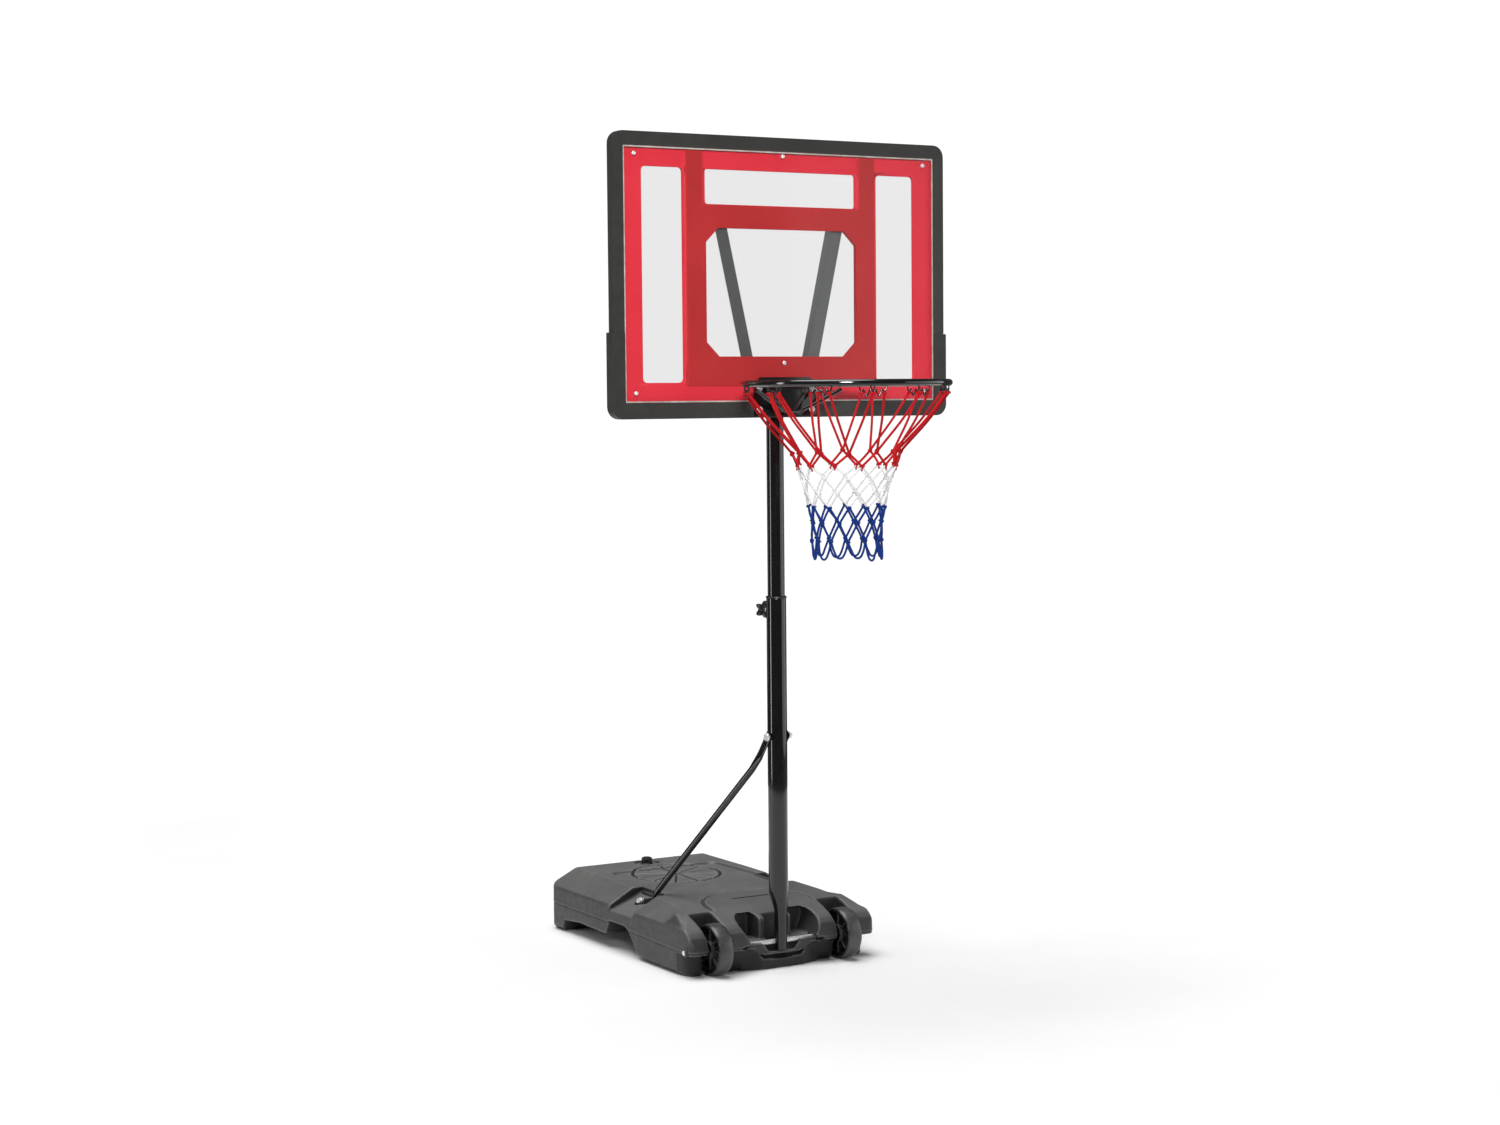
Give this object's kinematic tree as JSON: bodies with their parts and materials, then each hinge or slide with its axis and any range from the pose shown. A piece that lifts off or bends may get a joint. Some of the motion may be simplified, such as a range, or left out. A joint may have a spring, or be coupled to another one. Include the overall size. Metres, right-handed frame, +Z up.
{
  "type": "portable basketball hoop",
  "caption": "Free-standing basketball hoop: framed backboard, rim with net, telescopic pole, two braces and a wheeled water-filled base tank.",
  "frame": {"origin": "on the floor, at the centre of the object's outline seen from above", "axes": "+Z up; the rim points towards -Y; +X to the right of a viewer who faces the board"},
  "size_m": [0.778, 1.0752, 1.666],
  "materials": {
    "tank_plastic": "moulded, satin",
    "black_plastic": "satin",
    "zinc": "zinc plated",
    "black_steel": "gloss black enamel",
    "grey_steel": "satin grey enamel",
    "frame_plastic": "satin",
    "red_plastic": "smooth gloss",
    "clear_plastic": "clear, polished",
    "net_cord": "braided cord, red, white and blue bands"
  },
  "bodies": {
    "base": {"base_tank": "tank_plastic", "pole_collar": "black_plastic", "axle": "zinc", "axle_cap_left": "zinc", "axle_cap_right": "zinc", "brace_foot_bolt_left": "zinc", "brace_foot_bolt_right": "zinc", "brace_cross_bolt": "zinc", "brace_cross_nut": "zinc", "lower_pole": "black_steel", "knob_nut": "black_steel", "brace_left": "black_steel", "brace_right": "black_steel"},
    "upper": {"pole_top_cap": "black_plastic", "pole_bolt_lower": "zinc", "pole_bolt_upper": "zinc", "strut_screw_left": "zinc", "strut_screw_right": "zinc", "board_screw_1": "zinc", "board_screw_2": "zinc", "board_screw_3": "zinc", "board_screw_4": "zinc", "board_screw_5": "zinc", "board_screw_6": "zinc", "rim_bolt_1": "zinc", "rim_bolt_2": "zinc", "rim_bolt_3": "zinc", "rim_bolt_4": "zinc", "upper_pole": "black_steel", "pole_bracket": "black_steel", "rim_back_plate": "black_steel", "rim_bracket": "black_steel", "rim_ring": "black_steel", "rim_rod_left": "black_steel", "rim_rod_right": "black_steel", "net_hook_01": "black_steel", "net_hook_02": "black_steel", "net_hook_03": "black_steel", "net_hook_04": "black_steel", "net_hook_05": "black_steel", "net_hook_06": "black_steel", "net_hook_07": "black_steel", "net_hook_08": "black_steel", "net_hook_09": "black_steel", "net_hook_10": "black_steel", "net_hook_11": "black_steel", "net_hook_12": "black_steel", "strut_left": "grey_steel", "strut_right": "grey_steel", "frame_upper": "frame_plastic", "frame_lower": "frame_plastic", "board_moulding": "red_plastic", "clear_panel": "clear_plastic", "net": "net_cord"},
    "wheel_left": {"wheel_left": "black_plastic"},
    "wheel_right": {"wheel_right": "black_plastic"},
    "filler_cap": {"filler_cap": "black_plastic"},
    "knob_stud": {"knob_stud": "zinc"},
    "height_knob": {"height_knob": "black_plastic"}
  },
  "joints": [
    {"name": "height_slide", "type": "slide", "parent": "base", "child": "upper", "axis": [0, 0, 1], "range_m": [0, 0.15]},
    {"name": "wheel_left_spin", "type": "hinge", "parent": "base", "child": "wheel_left", "pos_m": [-0.152, -0.0704, 0.0523], "axis": [1, 0, 0], "continuous": true},
    {"name": "wheel_right_spin", "type": "hinge", "parent": "base", "child": "wheel_right", "pos_m": [0.152, -0.0704, 0.0523], "axis": [1, 0, 0], "continuous": true},
    {"name": "stud_travel", "type": "slide", "parent": "base", "child": "knob_stud", "axis": [0, 1, 0], "range_m": [0, 0.0025]},
    {"name": "knob_turn", "type": "hinge", "parent": "knob_stud", "child": "height_knob", "pos_m": [0, -0.0309, 0.724], "axis": [0, 1, 0], "range_deg": [0, 725]},
    {"name": "cap_lift", "type": "slide", "parent": "base", "child": "filler_cap", "axis": [0, 0, 1], "range_m": [0, 0.05]}
  ],
  "couplings": [
    {"joint": "knob_turn", "follows": "stud_travel", "rad_per_m": 5026.6}
  ]
}
